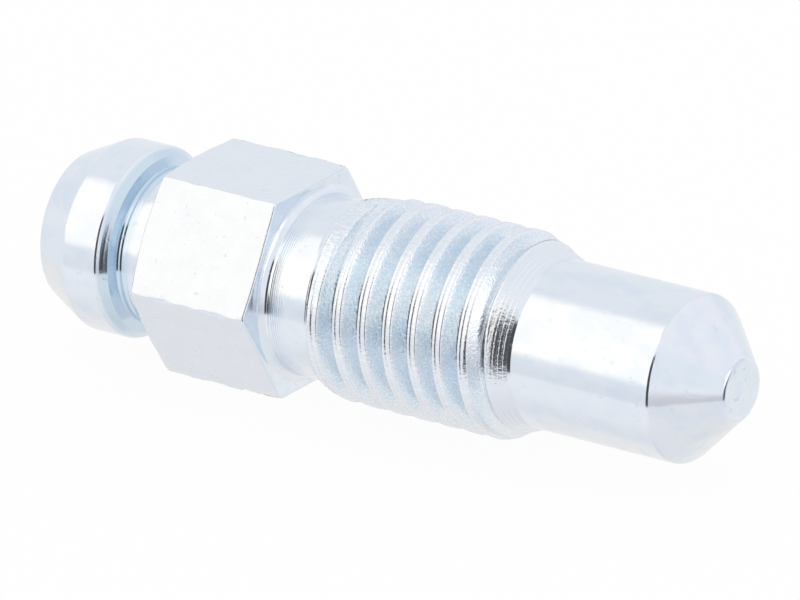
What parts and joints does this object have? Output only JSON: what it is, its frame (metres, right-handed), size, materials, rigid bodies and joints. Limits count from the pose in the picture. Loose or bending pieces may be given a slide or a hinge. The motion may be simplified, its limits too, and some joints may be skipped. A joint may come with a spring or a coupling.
{
  "type": "bleeder screw",
  "caption": "Hollow bleeder screw: a cone-tipped pilot and a short outside thread, a drive hexagon, and a barbed hose nipple at the other end.",
  "frame": {"origin": "the point where the screw's axis meets the plane of the hexagon's thread-side face", "axes": "+X along the screw's axis toward the sealing cone, -X toward the hose nipple, +Z square to the hexagon's upper flat, with the screw lying on the opposite flat"},
  "size_m": [0.0265, 0.008, 0.007],
  "materials": {
    "plated_steel": "bright zinc plating with a faint blue cast over turned and drawn steel"
  },
  "bodies": {
    "root": {"bleeder_screw": "plated_steel"}
  },
  "joints": []
}
